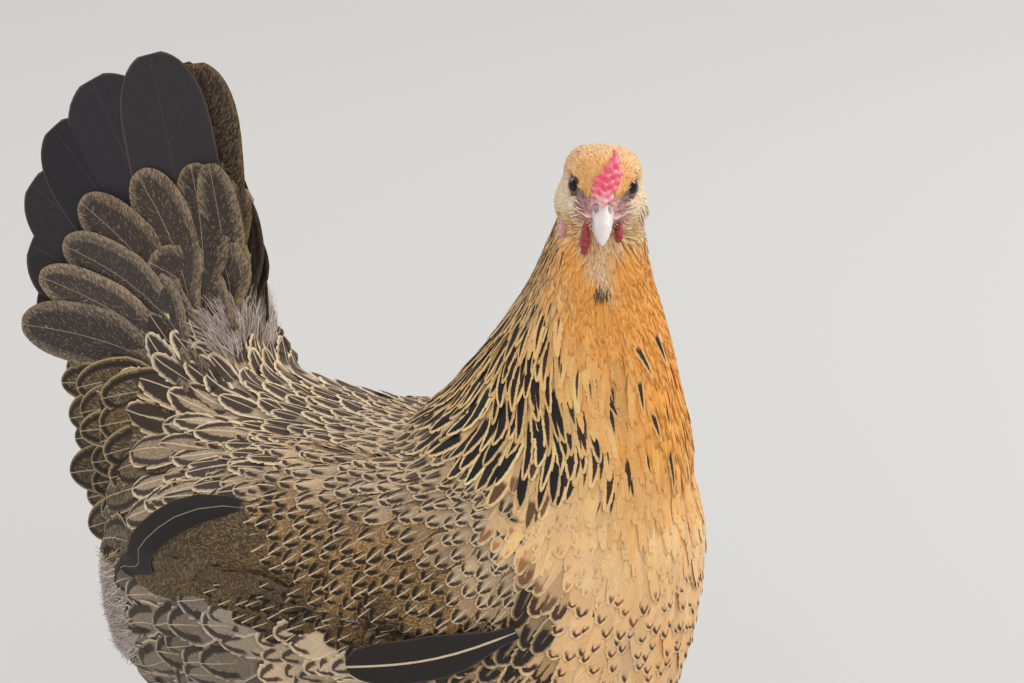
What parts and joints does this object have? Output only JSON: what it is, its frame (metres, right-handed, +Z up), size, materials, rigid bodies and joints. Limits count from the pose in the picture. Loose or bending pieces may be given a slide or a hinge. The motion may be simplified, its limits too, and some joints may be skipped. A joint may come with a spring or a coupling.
{
  "type": "hen",
  "caption": "Life-size standing hen with gold neck, brown laced body, upright dark tail and small red comb, head turned to its right.",
  "frame": {"origin": "on the floor, under the middle of the hen's overall length and breadth", "axes": "+Z up, the body faces -Y, the hen's left side is +X; the head is turned 51 degrees to the hen's right"},
  "size_m": [0.1824, 0.3466, 0.4279],
  "materials": {
    "plumage_gold": "soft feathers, matt",
    "plumage_brown": "laced feathers, matt",
    "flight_black": "smooth feather vanes, faint sheen",
    "thigh_down": "loose down, matt",
    "comb": "waxy skin",
    "wattle": "waxy skin",
    "earlobe": "soft skin",
    "beak": "satin horn",
    "eye": "wet gloss",
    "leg_scales": "scaled skin, satin",
    "claw": "satin horn"
  },
  "bodies": {
    "root": {"head": "plumage_gold", "neck": "plumage_gold", "trunk": "plumage_brown", "tail_base": "plumage_brown", "wing_right": "plumage_brown", "wing_left": "plumage_brown", "tail_fan_right": "flight_black", "tail_fan_left": "flight_black", "primary_right": "flight_black", "thigh_right": "thigh_down", "thigh_left": "thigh_down", "comb": "comb", "wattle_right": "wattle", "wattle_left": "wattle", "earlobe_right": "earlobe", "earlobe_left": "earlobe", "beak_upper": "beak", "beak_lower": "beak", "eye_right": "eye", "eye_left": "eye", "shank_right": "leg_scales", "shank_left": "leg_scales", "toe_inner_right": "leg_scales", "toe_middle_right": "leg_scales", "toe_outer_right": "leg_scales", "toe_hind_right": "leg_scales", "toe_inner_left": "leg_scales", "toe_middle_left": "leg_scales", "toe_outer_left": "leg_scales", "toe_hind_left": "leg_scales", "claw_inner_right": "claw", "claw_middle_right": "claw", "claw_outer_right": "claw", "claw_hind_right": "claw", "claw_inner_left": "claw", "claw_middle_left": "claw", "claw_outer_left": "claw", "claw_hind_left": "claw"}
  },
  "joints": []
}
